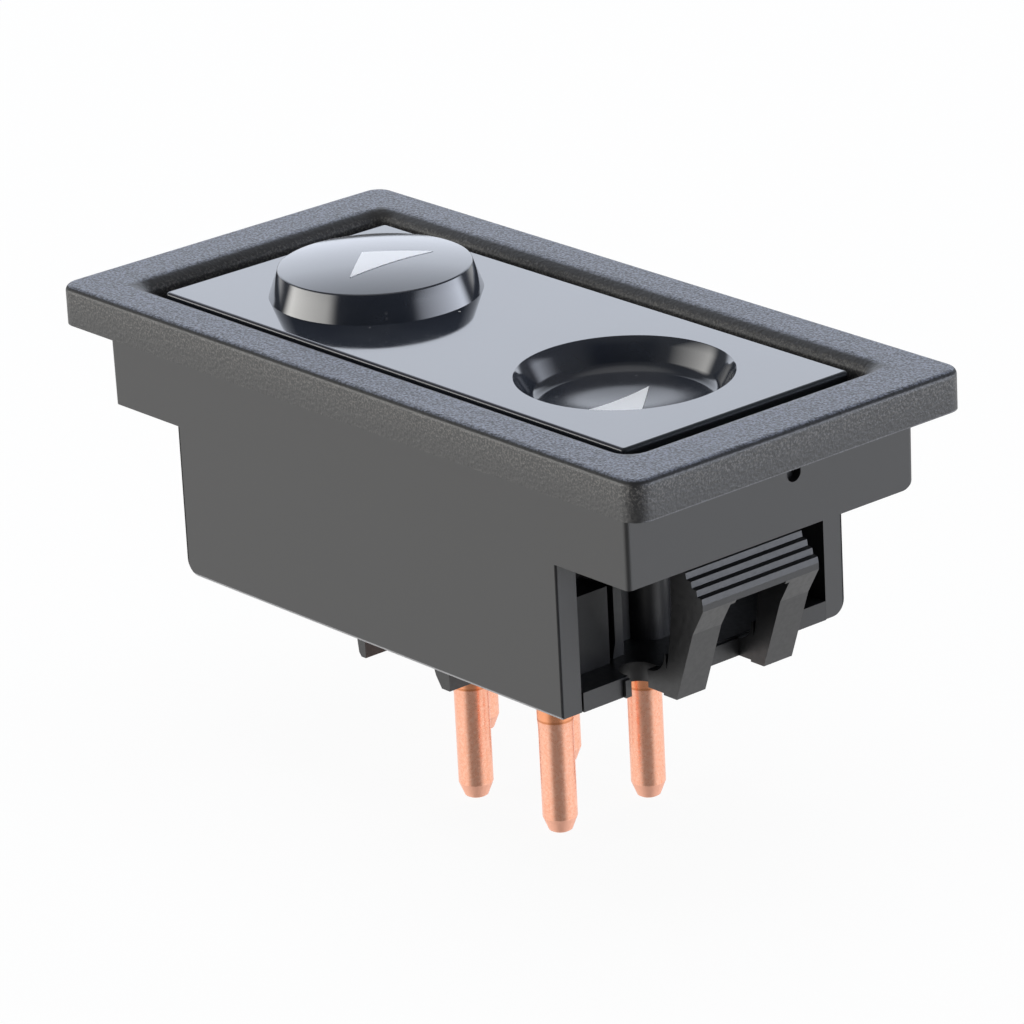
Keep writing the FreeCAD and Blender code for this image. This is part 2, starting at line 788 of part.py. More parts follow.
def latch():
    """End latch: two slanting legs, a window between them and a wedge head with thumb ridges."""
    inner, ramp_top, ramp_low, outer = latch_outline()
    ramp = [ramp_top]
    dx = (ramp_low[0] - ramp_top[0]) / latch_ridges
    dz = (ramp_low[1] - ramp_top[1]) / latch_ridges
    for i in range(latch_ridges):
        x = ramp_top[0] + dx * i
        z = ramp_top[1] + dz * i
        ramp.append((x + dx * latch_tread, z + dz * (1 - latch_tread)))
        ramp.append((x + dx, z + dz))
    tab = plate_xz(inner + ramp + outer[1:], -latch_half_width, latch_half_width)
    head_low = ramp_low[1] - 0.75
    window = box(lower_half_x, lower_half_x + 9, -latch_window_half, latch_window_half,
                 housing_bottom - 1, head_low)
    step = box(lower_half_x, lower_half_x + 9, -latch_window_half + 0.45, latch_window_half - 0.45,
               head_low - 1, head_low + 0.25)
    tab = tab.cut([window, step])
    webs = []
    foot_x = inner[0][0] + 0.4
    for side in (-1, 1):
        y = sorted((side * latch_window_half, side * latch_half_width))
        hollow = vec(lower_half_x + 0.2, 0, base_floor_top + gusset_radius - 0.1)
        web = box(lower_half_x, foot_x, y[0], y[1], housing_bottom, hollow.z)
        scoop = bar_across(gusset_radius, hollow.x, hollow.z, y[0] - 1, y[1] + 1)
        webs.append(web.cut(scoop))
    return joined([tab] + webs)


def key_ribs():
    """Two ribs under the floor that key the mating plug."""
    low = housing_bottom - key_rib_drop
    y0 = -base_half_y
    y1 = y0 + key_rib_length
    top = housing_bottom + 0.3
    first = plate_xz([(-4.1, top), (-3.75, low + 0.3), (-3.5, low), (-3.0, low), (-3.0, top)], y0, y1)
    second = plate_xz([(4.5, top), (5.2, low + 0.9), (5.8, low), (6.7, low), (6.7, top)], y0, y1)
    return [first, second]


def snap_grooves():
    """Grooves in the long edges of the floor that take the housing beads."""
    grooves = []
    for side in (-1, 1):
        z = base_floor_top - 0.5
        y = side * (base_half_y + 0.02)
        tip = side * (slot_half_y - 0.35 - 0.08)
        points = [vec(-12.2, y, z - 0.48), vec(-12.2, tip, z), vec(-12.2, y, z + 0.48)]
        wire = Part.makePolygon(points + points[:1])
        grooves.append(Part.Face(wire).extrude(vec(24.4, 0, 0)))
    return grooves


def main():
    os.makedirs("parts", exist_ok=True)
    export(housing(), "housing")
    export(rocker(), "rocker")
    export(arrow(-1, 0), "arrow_dome")
    export(arrow(1, 0), "arrow_dish")
    export(terminal_base(), "terminal_base")
    for name, x, y in pin_places():
        export(terminal_pin(x, y), name)
    export(pin_contacts(), "pin_contacts")
    export(link_contacts(), "link_contacts")
    export(link_strip(), "link_strip")
    for side, place in ((-1, "near"), (1, "far")):
        export(fulcrum_bracket(side), "fulcrum_bracket_" + place)
        export(contact_arm(side), "contact_arm_" + place)
        export(arm_rivets(side), "arm_rivets_" + place)
        export(plunger(side), "plunger_" + place)
        export(plunger_spring(side), "plunger_spring_" + place)


main()
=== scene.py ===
"""Looks of the power window switch: its finishes, a polished rocker, smooth springs, and a studio.

Metres, in the frame of the solids: +X towards the dish, +Y across, +Z up, with the
origin at the centre of the flange underside.
"""
import bmesh
import bpy
import json
import math
from mathutils import Matrix, Vector


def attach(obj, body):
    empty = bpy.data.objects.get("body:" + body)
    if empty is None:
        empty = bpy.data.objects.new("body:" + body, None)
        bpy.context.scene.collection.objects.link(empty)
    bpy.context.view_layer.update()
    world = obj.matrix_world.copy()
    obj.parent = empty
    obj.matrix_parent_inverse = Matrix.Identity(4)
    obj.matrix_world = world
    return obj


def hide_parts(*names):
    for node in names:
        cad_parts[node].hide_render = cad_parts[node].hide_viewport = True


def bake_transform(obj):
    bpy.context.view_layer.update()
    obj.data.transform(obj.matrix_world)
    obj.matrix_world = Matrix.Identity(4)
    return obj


MM = 0.001

# Camera, as fitted to the photograph
CAMERA_PLACE = Vector((0.32885, -0.27461, 0.14969))
CAMERA_AZIMUTH = 0.8742
CAMERA_ELEVATION = 0.3606
CAMERA_ROLL = -0.0523
FOCAL_PIXELS = 6096.2
PICTURE_WIDTH = 1024.0
SENSOR = 36.0
CAMERA_REACH = (0.01, 10.0)

# Places on the switch
PIN_TIP = -33.5 * MM
PIN_RING = -24.5 * MM
FLANGE_TOP = 3.1 * MM
FLANGE_END = 33.0 * MM
WELL_HALF_X = 27.6 * MM
WELL_HALF_Y = 11.65 * MM
BODY_BOTTOM = -6.4 * MM
SIDE_WALL_END = 21.7 * MM
SIDE_WALL_FACE = 13.96 * MM
HOUSING_BOTTOM = -18.3 * MM
ROCKER_TOP_X = 25.95 * MM
ROCKER_TOP_Y = 12.45 * MM
BUTTON_OFFSET = 14.1 * MM
PLATE_TOP = 2.6 * MM

# Button surfaces
DOME_FOOT = 8.2 * MM
DOME_RIM = 7.45 * MM
DOME_HEIGHT = 2.2 * MM
DOME_RISE = 0.55 * MM
DISH_RIM = 8.1 * MM
DISH_FLOOR = 6.9 * MM
DISH_DEPTH = 2.2 * MM
DISH_SAG = 0.8 * MM
RIM_ROUND = 0.16 * MM
INLAY_STEP = 0.04 * MM
LIP_EASE_IN = 0.05 * MM
LIP_EASE_DOWN = 0.06 * MM

# Where the solid's own button faces are looked for
SKIRT_INSIDE = 7.2 * MM
CROWN_LOWEST = PLATE_TOP + 1.8 * MM
DISH_WALL_LOWEST = 0.3 * MM
DISH_FLOOR_LOWEST = -1.0 * MM
ROUND_SLACK = 0.05 * MM
RIM_SLACK = 0.1 * MM
ABOVE_PLATE = 0.01 * MM
BELOW_PLATE = 0.005 * MM

# How finely the button surfaces are turned, and how meshes are joined and smoothed
TURN_STEPS = 540
CROWN_STEPS = 14
SKIRT_STEPS = 3
WALL_STEPS = 4
ROUND_STEPS = 4
SHARP_EDGE = math.radians(28.0)
MERGE_WITHIN = 0.001 * MM

# Colours; a pair is the span that a finish wavers over
BODY_BLACK = (0.005, 0.005, 0.0056)
FLANGE_FLECKS = ((0.001, 0.002, 0.006), (0.14, 0.158, 0.207))
# Paler flecks that carry a painted reflection on the flange walls
FLECK_REFLECTION = (0.1, 0.094, 0.085)
# Painted shade: dark lines at the flange's rim and the side walls' corners
EDGE_SHADE = (0.012, 0.012, 0.013)
# Painted highlight: pale lines at the flange's foot and the bottom edge
EDGE_HIGHLIGHT = (0.3, 0.3, 0.31)
BASE_BLACK = (0.007, 0.007, 0.008)
ROCKER_GLOSS = ((0.017, 0.021, 0.03), (0.026, 0.03, 0.039))
# Painted shade along the rocker's top edges
ROCKER_EDGE_SHADE = (0.03, 0.034, 0.04)
DUST_GREY = (0.42, 0.41, 0.4)
ARROW_RAISED = ((0.64, 0.655, 0.68), (0.68, 0.69, 0.71))
ARROW_SUNK = ((0.9, 0.92, 0.945), (0.92, 0.935, 0.955))
COPPER = ((0.93, 0.45, 0.3), (0.98, 0.55, 0.4))
COPPER_LINES = (0.9, 0.36, 0.2)
# Painted shade on the pins above their ring: darker, warmer copper, darkest just above the ring
COPPER_SHADED = (0.88, 0.34, 0.15)
COPPER_RING_SHADE = (0.5, 0.16, 0.06)
COPPER_TIP = (0.93, 0.53, 0.39)
BRASS = ((0.72, 0.54, 0.27), (0.84, 0.68, 0.4))
SILVER = ((0.72, 0.72, 0.7), (0.86, 0.85, 0.83))
PLUNGER_WHITE = ((0.74, 0.72, 0.65), (0.82, 0.8, 0.74))
WIRE_GREY = ((0.5, 0.51, 0.53), (0.64, 0.65, 0.66))
WHITE = (1.0, 1.0, 1.0, 1.0)

# Flange finish: grain cells for each metre, grain depth, and where the marks rise and fall; the marks are
# a painted reflection in the wall flecks, painted shade on the rim line and a painted highlight on the
# under line
GRAIN_CELLS = 3800.0
FLECK_CELLS = 5400.0
GRAIN_DEPTH = 0.055 * MM
WELL_LIP = (0.6 * MM, 1.3 * MM)
SHADED_WELL = (2.25 * MM, 2.45 * MM)
# Heights of the band of flecks that is a painted reflection
REFLECTION_BAND = (0.4 * MM, 2.4 * MM, 2.65 * MM, 2.8 * MM)
# Heights of the painted shade line at the flange's rim
RIM_LINE = (2.78 * MM, 2.88 * MM, 2.97 * MM, 3.03 * MM)
# Heights of the painted highlight at the flange's foot
UNDER_LINE = (0.0, 0.02 * MM, 0.07 * MM, 0.12 * MM)

# Rocker and pin finish: where the dust lies, how wide the painted shade on the edges is, and where the cut
# and the painted shade above the ring end
DUST_RING = (DOME_FOOT, DOME_FOOT + 0.1 * MM, DOME_FOOT + 1.4 * MM, DOME_FOOT + 2.4 * MM)
DUST_CELLS = 900.0
EDGE_HALF = 0.02 * MM
TIP_CUT = (1.1 * MM, 1.3 * MM)
RING_EDGE = 0.05 * MM
RING_FADE = (0.1 * MM, 0.22 * MM)

# Floor
FLOOR_HALF = 4.0
FLOOR_DROP = 0.02 * MM
FLOOR_GREY = (0.88, 0.88, 0.88, 1.0)
FLOOR_WHITE_SHARE = 0.94

# How far the soft boxes stand from the switch
BOX_DISTANCE = 1.0

# Room round the switch, by the height of a direction: from -1 straight down to 1 straight up
HORIZON = (-0.05, 0.03)
ROOM_LEVELS = (1.05, 0.12)
GAP_LEVELS = (0.68, 0.86)
GAP_SIDES = (math.radians(54.0), math.radians(24.0))
GAP_TOP = (0.75, 0.6)
CEILING_FROM = 0.8
CEILING_LEVEL = 0.4

# A touch over one, so that the root in the world's bearing is never of a negative number
ROOT_GUARD = 1.0001


def heading(azimuth):
    """Level direction from the object towards a viewer at this azimuth."""
    return Vector((math.sin(azimuth), -math.cos(azimuth), 0.0))


def make_camera():
    """The photograph's camera, with its slight roll."""
    back = heading(CAMERA_AZIMUTH) * math.cos(CAMERA_ELEVATION)
    back.z = math.sin(CAMERA_ELEVATION)
    right = Vector((math.cos(CAMERA_AZIMUTH), math.sin(CAMERA_AZIMUTH), 0.0))
    up = back.cross(right)
    c, s = math.cos(CAMERA_ROLL), math.sin(CAMERA_ROLL)
    side = right * c + up * s
    top = up * c - right * s
    turn = Matrix((side, top, back)).transposed().to_4x4()
    lens = bpy.data.cameras.new("camera")
    lens.sensor_width = SENSOR
    lens.lens = FOCAL_PIXELS * SENSOR / PICTURE_WIDTH
    lens.clip_start, lens.clip_end = CAMERA_REACH
    camera = bpy.data.objects.new("camera", lens)
    camera.matrix_world = Matrix.Translation(CAMERA_PLACE) @ turn
    bpy.context.scene.collection.objects.link(camera)
    bpy.context.scene.camera = camera


class Nodes:
    """Small helper that adds and joins shader nodes."""

    def __init__(self, tree):
        self.tree = tree

    def add(self, kind, **settings):
        node = self.tree.nodes.new(kind)
        for name, value in settings.items():
            setattr(node, name, value)
        return node

    def join(self, out, into):
        self.tree.links.new(out, into)

    def math(self, operation, a, b=None, clamp=False):
        node = self.add("ShaderNodeMath", operation=operation, use_clamp=clamp)
        for i, value in enumerate((a, b)):
            if value is None:
                continue
            if isinstance(value, (int, float)):
                node.inputs[i].default_value = value
            else:
                self.join(value, node.inputs[i])
        return node.outputs[0]

    def ramp(self, value, low, high, to_low=0.0, to_high=1.0, smooth=True):
        """Value carried from one span to another, held at the ends."""
        node = self.add("ShaderNodeMapRange", interpolation_type="SMOOTHSTEP" if smooth else "LINEAR")
        node.inputs["From Min"].default_value = low
        node.inputs["From Max"].default_value = high
        node.inputs["To Min"].default_value = to_low
        node.inputs["To Max"].default_value = to_high
        self.join(value, node.inputs["Value"])
        return node.outputs["Result"]

    def band(self, value, rise, full, fall, end, low=0.0):
        """Rises from low to one, stays, and falls to nought."""
        up = self.ramp(value, rise, full, low, 1.0)
        return self.math("MULTIPLY", up, self.ramp(value, fall, end, 1.0, 0.0))

    def up_to(self, value, level, far, near):
        """Nought where the value is far short of a level, one where it is near."""
        return self.ramp(value, level - far, level - near)

    def blend(self, factor, first, second):
        """Colour between two, by a factor."""
        node = self.add("ShaderNodeMix", data_type="RGBA")
        for name, value in (("Factor", factor), ("A", first), ("B", second)):
            socket = [s for s in node.inputs if s.name == name and s.enabled][0]
            if isinstance(value, (int, float)):
                socket.default_value = value
            elif isinstance(value, tuple):
                socket.default_value = value + (1.0,)
            else:
                self.join(value, socket)
        return [s for s in node.outputs if s.enabled][0]

    def place(self):
        """Position on the piece."""
        return self.add("ShaderNodeTexCoord").outputs["Object"]

    def parts(self, vector):
        """The three numbers of a vector."""
        split = self.add("ShaderNodeSeparateXYZ")
        self.join(vector, split.inputs[0])
        return split.outputs[0], split.outputs[1], split.outputs[2]

    def noise(self, place, scale, detail=2.0, rough=0.5):
        node = self.add("ShaderNodeTexNoise")
        node.inputs["Scale"].default_value = scale
        node.inputs["Detail"].default_value = detail
        node.inputs["Roughness"].default_value = rough
        self.join(place, node.inputs["Vector"])
        return node.outputs["Fac"]

    def stretch(self, place, x, y, z):
        node = self.add("ShaderNodeMapping")
        node.inputs["Scale"].default_value = (x, y, z)
        self.join(place, node.inputs["Vector"])
        return node.outputs["Vector"]


def new_group(name, inputs, outputs):
    """Empty shader node group with float or vector sockets; returns its helper and ends."""
    group = bpy.data.node_groups.new(name, "ShaderNodeTree")
    kinds = {"float": "NodeSocketFloat", "vector": "NodeSocketVector"}
    for title, kind in inputs:
        group.interface.new_socket(name=title, in_out="INPUT", socket_type=kinds[kind])
    for title, kind in outputs:
        group.interface.new_socket(name=title, in_out="OUTPUT", socket_type=kinds[kind])
    start = group.nodes.new("NodeGroupInput")
    end = group.nodes.new("NodeGroupOutput")
    return group, Nodes(group), start, end


def grain_group():
    """Fine moulded grain: a height for bump and a speck value for colour."""
    group, n, start, end = new_group(
        "moulded grain",
        (("Place", "vector"), ("Cells per metre", "float"), ("Amount", "float")),
        (("Height", "float"), ("Speck", "float")))
    small = n.add("ShaderNodeTexNoise")
    small.inputs["Detail"].default_value = 2.5
    small.inputs["Roughness"].default_value = 0.62
    n.join(start.outputs["Place"], small.inputs["Vector"])
    n.join(start.outputs["Cells per metre"], small.inputs["Scale"])
    pits = n.add("ShaderNodeTexVoronoi")
    n.join(start.outputs["Place"], pits.inputs["Vector"])
    n.join(n.math("MULTIPLY", start.outputs["Cells per metre"], 0.8), pits.inputs["Scale"])
    height = n.math("ADD", n.math("MULTIPLY", small.outputs["Fac"], 0.7),
                    n.math("MULTIPLY", pits.outputs["Distance"], 0.45))
    n.join(n.math("MULTIPLY", height, start.outputs["Amount"]), end.inputs["Height"])
    speck = n.ramp(small.outputs["Fac"], 0.36, 0.64)
    n.join(speck, end.inputs["Speck"])
    return group


def cloud_group():
    """Soft uneven tone over a moulding, near one everywhere."""
    group, n, start, end = new_group(
        "soft cloud",
        (("Place", "vector"), ("Patches per metre", "float"), ("Depth", "float")),
        (("Tone", "float"),))
    wide = n.add("ShaderNodeTexNoise")
    wide.inputs["Detail"].default_value = 3.0
    n.join(start.outputs["Place"], wide.inputs["Vector"])
    n.join(start.outputs["Patches per metre"], wide.inputs["Scale"])
    centred = n.math("SUBTRACT", wide.outputs["Fac"], 0.5)
    n.join(n.math("ADD", 1.0, n.math("MULTIPLY", centred, start.outputs["Depth"])), end.inputs["Tone"])
    return group


def dust_group():
    """Sparse bright specks: one dot in a few of the cells."""
    group, n, start, end = new_group(
        "dust specks",
        (("Place", "vector"), ("Cells per metre", "float"), ("Share", "float"), ("Size", "float")),
        (("Mask", "float"),))
    cells = n.add("ShaderNodeTexVoronoi")
    n.join(start.outputs["Place"], cells.inputs["Vector"])
    n.join(start.outputs["Cells per metre"], cells.inputs["Scale"])
    split = n.add("ShaderNodeSeparateColor")
    n.join(cells.outputs["Color"], split.inputs[0])
    chosen = n.math("LESS_THAN", split.outputs[0], start.outputs["Share"])
    near = n.math("LESS_THAN", cells.outputs["Distance"], start.outputs["Size"])
    n.join(n.math("MULTIPLY", chosen, near), end.inputs["Mask"])
    return group


def use_group(n, group, place, **values):
    """A group placed in a material, with its own values."""
    node = n.add("ShaderNodeGroup")
    node.node_tree = group
    n.join(place, node.inputs["Place"])
    for name, value in values.items():
        socket = node.inputs[name.replace("_", " ")]
        if isinstance(value, (int, float)):
            socket.default_value = value
        else:
            n.join(value, socket)
    return node


def new_material(name, **uniform):
    """Material with one surface shader; uniform values go on its own sockets."""
    material = bpy.data.materials.new(name)
    material.use_nodes = True
    tree = material.node_tree
    shader = tree.nodes["Principled BSDF"]
    for title, value in uniform.items():
        shader.inputs[title.replace("_", " ")].default_value = value
    return material, Nodes(tree), shader


def bump(n, shader, height, distance):
    """Lets a height tilt the shader's normal."""
    node = n.add("ShaderNodeBump")
    node.inputs["Strength"].default_value = 1.0
    node.inputs["Distance"].default_value = distance
    n.join(height, node.inputs["Height"])
    n.join(node.outputs["Normal"], shader.inputs["Normal"])


def shade(n, colour, tone):
    """Colour made lighter or darker by a tone near one."""
    node = n.add("ShaderNodeVectorMath", operation="SCALE")
    node.inputs[0].default_value = colour
    n.join(tone, node.inputs["Scale"])
    return node.outputs[0]


def waver(n, shader, fine, colours, rough):
    """Colour and roughness that waver with a fine noise."""
    n.join(n.blend(fine, *colours), shader.inputs["Base Color"])
    n.join(n.ramp(fine, 0.3, 0.7, *rough), shader.inputs["Roughness"])


def bezel_material(groups):
    """Black moulding: grained flange, smooth body below it, painted shade and painted highlights as fine
    lines at its edges, and a painted reflection in the flecks on its walls.
    """
    material, n, shader = new_material("bezel black", IOR=1.74)
    place = n.place()
    x, y, z = n.parts(place)
    wide, deep = n.math("ABSOLUTE", x), n.math("ABSOLUTE", y)
    on_flange = n.ramp(z, -0.05 * MM, 0.0)
    lip, clear = WELL_LIP
    outside = n.math("MAXIMUM", n.ramp(wide, WELL_HALF_X + lip, WELL_HALF_X + clear),
                     n.ramp(deep, WELL_HALF_Y + lip, WELL_HALF_Y + clear))
    in_well = n.math("MULTIPLY", on_flange, n.math("SUBTRACT", 1.0, outside))
    top = n.math("MULTIPLY", outside, n.up_to(z, FLANGE_TOP, 0.2 * MM, 0.02 * MM))
    grain = use_group(n, groups["grain"], place, Cells_per_metre=GRAIN_CELLS, Amount=on_flange)
    flecks = use_group(n, groups["grain"], place, Cells_per_metre=FLECK_CELLS, Amount=0.0)
    cloud = use_group(n, groups["cloud"], place, Patches_per_metre=70.0, Depth=0.5)

    # Walls: black body, with paler grain flecks on the sides of the flange that are a painted reflection,
    # strongest in a band below the rim and fainter in the well
    body = shade(n, BODY_BLACK, cloud.outputs["Tone"])
    reflected_flecks = n.math("MULTIPLY", on_flange, n.ramp(outside, 0.0, 1.0, 0.6, 1.0))
    reflected_flecks = n.math("MULTIPLY", n.band(z, *REFLECTION_BAND, low=0.2), reflected_flecks)
    reflected_flecks = n.math("MULTIPLY", reflected_flecks, n.ramp(flecks.outputs["Speck"], 0.5, 0.95))
    wall = n.blend(n.math("MULTIPLY", reflected_flecks, 0.75), body, FLECK_REFLECTION)
    face = n.blend(flecks.outputs["Speck"], *FLANGE_FLECKS)

    # Edges: painted shade as dark lines at the flange's rim and the side walls' corners, painted
    # highlights as pale lines at the flange's foot and the bottom
    rim = n.math("MULTIPLY", n.band(z, *RIM_LINE), n.math("MULTIPLY", outside, 0.5))
    corner = n.math("MULTIPLY", n.up_to(wide, SIDE_WALL_END, 0.2 * MM, 0.08 * MM),
                    n.up_to(deep, SIDE_WALL_FACE, 0.2 * MM, 0.08 * MM))
    corner = n.math("MULTIPLY", corner, n.ramp(z, BODY_BOTTOM - 0.05 * MM, BODY_BOTTOM, 1.0, 0.0))
    shade_lines = n.math("ADD", rim, corner, clamp=True)
    under_edge = n.math("MULTIPLY", n.band(z, *UNDER_LINE), n.up_to(x, FLANGE_END, 0.3 * MM, 0.1 * MM))
    lowest = n.ramp(z, HOUSING_BOTTOM + 0.07 * MM, HOUSING_BOTTOM + 0.16 * MM, 1.0, 0.0)
    lower_edge = n.math("MULTIPLY", lowest, n.up_to(deep, SIDE_WALL_FACE, 0.1 * MM, 0.05 * MM))

    colour = n.blend(top, wall, face)
    colour = n.blend(shade_lines, colour, EDGE_SHADE)
    n.join(n.math("MULTIPLY", shade_lines, 0.7), shader.inputs["Metallic"])
    # The pale lines at the flange's foot and the bottom edge are painted highlights
    highlight_lines = n.math("MAXIMUM", lower_edge, n.math("MULTIPLY", under_edge, 0.25))
    n.join(n.blend(highlight_lines, colour, EDGE_HIGHLIGHT), shader.inputs["Base Color"])
    rough = n.math("ADD", n.ramp(on_flange, 0.0, 1.0, 0.42, 0.5), n.math("MULTIPLY", shade_lines, 0.4))
    deep_well = n.math("MULTIPLY", in_well, n.ramp(z, *SHADED_WELL, 0.35, 0.02))
    n.join(n.math("ADD", rough, deep_well), shader.inputs["Roughness"])
    bump(n, shader, grain.outputs["Height"], GRAIN_DEPTH)
    return material


def base_material(groups):
    """Smooth black moulding, softly uneven."""
    material, n, shader = new_material("base black", Roughness=0.42, IOR=1.65)
    place = n.place()
    cloud = use_group(n, groups["cloud"], place, Patches_per_metre=90.0, Depth=0.4)
    fine = n.noise(place, 2600.0)
    n.join(shade(n, BASE_BLACK, cloud.outputs["Tone"]), shader.inputs["Base Color"])
    n.join(n.ramp(fine, 0.3, 0.7, 0.38, 0.46), shader.inputs["Roughness"])
    bump(n, shader, fine, 0.004 * MM)
    return material


def rocker_material(groups):
    """Polished black, rougher and painted dark on its edges as shade, with a little dust round the foot of
    the dome.
    """
    material, n, shader = new_material("rocker gloss", IOR=1.8)
    place = n.place()
    x, y = n.parts(place)[:2]
    away = n.math("ADD", x, BUTTON_OFFSET)
    reach = n.math("SQRT", n.math("ADD", n.math("MULTIPLY", away, away), n.math("MULTIPLY", y, y)))
    dust = use_group(n, groups["dust"], place, Cells_per_metre=DUST_CELLS, Share=0.3, Size=0.11)
    near_dome = n.math("ADD", 0.06, n.band(reach, *DUST_RING), clamp=True)
    mask = n.math("MULTIPLY", dust.outputs["Mask"], near_dome)
    haze = n.noise(place, 220.0, detail=3.0)
    gloss = n.blend(n.ramp(haze, 0.3, 0.7), *ROCKER_GLOSS)
    colour = n.blend(mask, gloss, DUST_GREY)
    wide, deep = n.math("ABSOLUTE", x), n.math("ABSOLUTE", y)
    # Painted shade along the top edges: a dark colour and metallic darken their reflection
    edge = n.math("MAXIMUM", n.ramp(wide, ROCKER_TOP_X - EDGE_HALF, ROCKER_TOP_X + EDGE_HALF),
                  n.ramp(deep, ROCKER_TOP_Y - EDGE_HALF, ROCKER_TOP_Y + EDGE_HALF))
    n.join(n.blend(edge, colour, ROCKER_EDGE_SHADE), shader.inputs["Base Color"])
    n.join(n.math("MULTIPLY", edge, 0.8), shader.inputs["Metallic"])
    rough = n.math("ADD", n.ramp(haze, 0.3, 0.7, 0.07, 0.1), n.math("MULTIPLY", edge, 0.4))
    n.join(n.math("ADD", rough, n.math("MULTIPLY", mask, 0.6), clamp=True), shader.inputs["Roughness"])
    return material


def arrow_material():
    """Satin white, a little greyer on the raised button."""
    material, n, shader = new_material("arrow white", IOR=1.5)
    place = n.place()
    height = n.parts(place)[2]
    fine = n.noise(place, 500.0)
    raised = n.blend(fine, *ARROW_RAISED)
    sunk = n.blend(fine, *ARROW_SUNK)
    n.join(n.blend(n.ramp(height, 1.0 * MM, 4.0 * MM), sunk, raised), shader.inputs["Base Color"])
    n.join(n.ramp(fine, 0.3, 0.7, 0.3, 0.36), shader.inputs["Roughness"])
    return material


def copper_material():
    """Drawn copper pin: fine lines and small pits, a duller cut tip, and painted shade above its ring,
    darker and warmer, darkest just above the ring.
    """
    material, n, shader = new_material("pin copper", Metallic=1.0)
    place = n.place()
    z = n.parts(place)[2]
    drawn = n.noise(n.stretch(place, 1.0, 1.0, 0.04), 6500.0)
    pits = n.noise(place, 4200.0, detail=3.0, rough=0.65)
    tip = n.ramp(z, PIN_TIP + TIP_CUT[0], PIN_TIP + TIP_CUT[1], 1.0, 0.0)
    # Painted shade above the ring line: darker, warmer copper, darkest in a thin band just above it
    above = n.ramp(z, PIN_RING - RING_EDGE, PIN_RING + RING_EDGE)
    ring = n.math("MULTIPLY", above, n.ramp(z, PIN_RING + RING_FADE[0], PIN_RING + RING_FADE[1], 1.0, 0.0))
    tone = n.blend(n.ramp(pits, 0.38, 0.7), *COPPER)
    tone = n.blend(n.ramp(drawn, 0.55, 0.75, 0.0, 0.35), tone, COPPER_LINES)
    shaded_copper = n.blend(n.math("MULTIPLY", above, 0.75), tone, COPPER_SHADED)
    shaded_copper = n.blend(n.math("MULTIPLY", ring, 0.6), shaded_copper, COPPER_RING_SHADE)
    n.join(n.blend(n.math("MULTIPLY", tip, 0.8), shaded_copper, COPPER_TIP), shader.inputs["Base Color"])
    rough = n.math("ADD", n.ramp(pits, 0.3, 0.7, 0.26, 0.36), n.math("MULTIPLY", tip, 0.28))
    n.join(rough, shader.inputs["Roughness"])
    height = n.math("ADD", n.math("MULTIPLY", drawn, 0.5), n.math("MULTIPLY", pits, 0.6))
    bump(n, shader, height, 0.0035 * MM)
    return material


def strip_material():
    """Stamped brass, with its rolling lines along the switch."""
    material, n, shader = new_material("brass strip", Metallic=1.0)
    rolled = n.noise(n.stretch(n.place(), 0.08, 1.0, 1.0), 3000.0, detail=3.0)
    waver(n, shader, rolled, BRASS, (0.28, 0.42))
    return material


def silver_material():
    """Satin silver of the contacts and rivets."""
    material, n, shader = new_material("contact silver", Metallic=1.0)
    waver(n, shader, n.noise(n.place(), 4000.0), SILVER, (0.3, 0.42))
    return material


def plunger_material():
    """Natural unfilled plastic."""
    material, n, shader = new_material("plunger white", IOR=1.48)
    waver(n, shader, n.noise(n.place(), 900.0, detail=3.0), PLUNGER_WHITE, (0.38, 0.5))
    return material


def wire_material():
    """Drawn spring wire."""
    material, n, shader = new_material("spring wire", Metallic=1.0)
    waver(n, shader, n.noise(n.place(), 3500.0), WIRE_GREY, (0.22, 0.35))
    return material


def finish_nodes(frame):
    """Gives every node of the solids the finish that the record names for it."""
    groups = {"grain": grain_group(), "cloud": cloud_group(), "dust": dust_group()}
    finishes = {
        "bezel_black": bezel_material(groups),
        "base_black": base_material(groups),
        "rocker_black": rocker_material(groups),
        "arrow_white": arrow_material(),
        "pin_copper": copper_material(),
        "brass_strip": strip_material(),
        "contact_silver": silver_material(),
        "plunger_white": plunger_material(),
        "spring_steel": wire_material(),
    }
    for part in frame["record"]["subparts"]:
        piece = frame["nodes"][part["node"]]
        if not piece.material_slots:
            piece.data.materials.append(finishes[part["material_slot"]])
        for slot in piece.material_slots:
            slot.material = finishes[part["material_slot"]]
    return finishes


def crown_rings(radius, rise, level):
    """Radius and height of rings over a shallow crown, from its rim to its middle."""
    depth = abs(rise)
    ball = (radius * radius + depth * depth) / (2 * depth)
    rings = []
    for i in range(1, CROWN_STEPS + 1):
        r = radius * (1 - i / CROWN_STEPS)
        z = depth - (ball - math.sqrt(ball * ball - r * r))
        rings.append((r, level + math.copysign(z, rise)))
    return rings


def slope_rings(start, end, steps):
    """Radius and height of rings down or up a straight slope, after its first."""
    (radius, z), (end_radius, end_z) = start, end
    rings = []
    for i in range(1, steps + 1):
        rings.append((radius + (end_radius - radius) * i / steps, z + (end_z - z) * i / steps))
    return rings


def dome_rings():
    """Flared skirt, softly rounded rim and crown of the raised button."""
    foot = (DOME_FOOT, PLATE_TOP)
    top = PLATE_TOP + DOME_HEIGHT - INLAY_STEP
    lean = math.atan2(DOME_FOOT - DOME_RIM, DOME_HEIGHT)
    rings = [foot] + slope_rings(foot, (DOME_RIM, PLATE_TOP + (DOME_HEIGHT - RIM_ROUND)), SKIRT_STEPS)
    turn = math.pi / 2 - lean
    for i in range(1, ROUND_STEPS + 1):
        a = lean + turn * i / ROUND_STEPS
        radius = DOME_RIM - RIM_ROUND * (math.cos(lean) - math.cos(a))
        rings.append((radius, top - RIM_ROUND * (1 - math.sin(a))))
    return rings + crown_rings(rings[-1][0], DOME_RISE, top)


